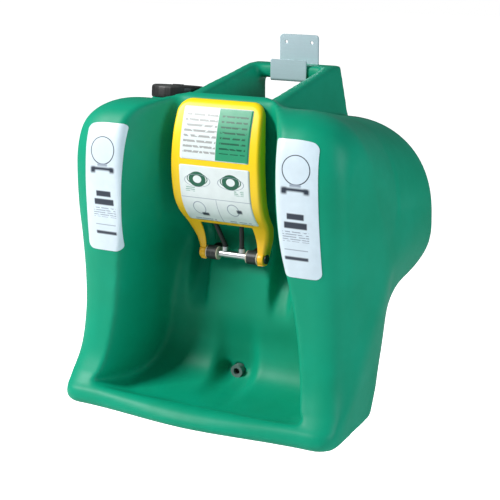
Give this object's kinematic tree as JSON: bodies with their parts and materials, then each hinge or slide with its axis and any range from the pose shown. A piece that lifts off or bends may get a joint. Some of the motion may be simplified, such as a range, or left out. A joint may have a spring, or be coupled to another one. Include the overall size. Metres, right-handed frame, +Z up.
{
  "type": "gravity-fed eyewash station",
  "caption": "Wall-hung green water tank with a bowl and a yellow pull-down arm that carries two eyewash spray heads",
  "frame": {"origin": "middle of the two wall screw holes, on the wall plane", "axes": "+Z up, -Y out of the wall towards the user, +X to the viewer's right when facing the unit"},
  "size_m": [0.676, 0.5238, 0.757],
  "materials": {
    "tank_plastic": "rotomoulded polyethylene, fine satin",
    "arm_plastic": "moulded, semi-gloss",
    "label_film": "printed film, satin",
    "bracket_steel": "stainless sheet, brushed",
    "cap_plastic": "moulded black, satin",
    "seal_rubber": "moulded rubber",
    "tube_steel": "drawn stainless tube",
    "bush_nylon": "natural nylon",
    "fitting_plastic": "moulded black nylon",
    "insert_brass": "machined brass",
    "riser_rubber": "black tube",
    "head_plastic": "moulded green",
    "screen_plastic": "moulded white",
    "screw_steel": "stainless screw",
    "drain_plastic": "moulded insert"
  },
  "bodies": {
    "bracket": {"wall_bracket": "bracket_steel"},
    "tank": {"tank_shell": "tank_plastic", "side_label_left": "label_film", "side_label_right": "label_film", "swivel_bush_left": "bush_nylon", "swivel_bush_right": "bush_nylon", "outlet_elbow_left": "fitting_plastic", "outlet_elbow_right": "fitting_plastic", "outlet_insert_left": "insert_brass", "outlet_insert_right": "insert_brass", "elbow_seals": "seal_rubber", "drain_insert": "drain_plastic"},
    "arm": {"activation_arm": "arm_plastic", "arm_label_upper": "label_film", "arm_label_lower": "label_film", "arm_screws": "screw_steel", "hinge_manifold": "tube_steel", "manifold_plugs": "fitting_plastic", "riser_tube_left": "riser_rubber", "riser_tube_right": "riser_rubber", "spray_head_left": "head_plastic", "spray_head_right": "head_plastic", "spray_screen_left": "screen_plastic", "spray_screen_right": "screen_plastic", "head_bracket": "bracket_steel", "head_screws": "screw_steel"},
    "cap_seal": {"cap_gasket": "seal_rubber"},
    "cap": {"fill_cap": "cap_plastic", "cap_vent": "cap_plastic"},
    "plug_seal": {"drain_plug_ring": "seal_rubber"},
    "plug": {"drain_plug": "cap_plastic"}
  },
  "joints": [
    {"name": "lift_off", "type": "slide", "parent": "bracket", "child": "tank", "axis": [0, 0, 1], "range_m": [0, 0.046]},
    {"name": "arm_hinge", "type": "hinge", "parent": "tank", "child": "arm", "pos_m": [0, -0.305, -0.42], "axis": [1, 0, 0], "range_deg": [0, 90]},
    {"name": "cap_rise", "type": "slide", "parent": "tank", "child": "cap_seal", "axis": [0, 0.1219, 0.9925], "range_m": [0, 0.009]},
    {"name": "cap_turn", "type": "hinge", "parent": "cap_seal", "child": "cap", "pos_m": [-0.18, -0.23, -0.12], "axis": [0, 0.1219, 0.9925], "range_deg": [0, 540]},
    {"name": "plug_rise", "type": "slide", "parent": "tank", "child": "plug_seal", "axis": [0, -1, 0], "range_m": [0, 0.004]},
    {"name": "plug_turn", "type": "hinge", "parent": "plug_seal", "child": "plug", "pos_m": [0, -0.29, -0.684], "axis": [0, -1, 0], "range_deg": [0, 720]}
  ],
  "couplings": [
    {"joint": "cap_rise", "follows": "cap_turn", "m_per_rad": 0.00095483},
    {"joint": "plug_rise", "follows": "plug_turn", "m_per_rad": 0.00031828}
  ]
}
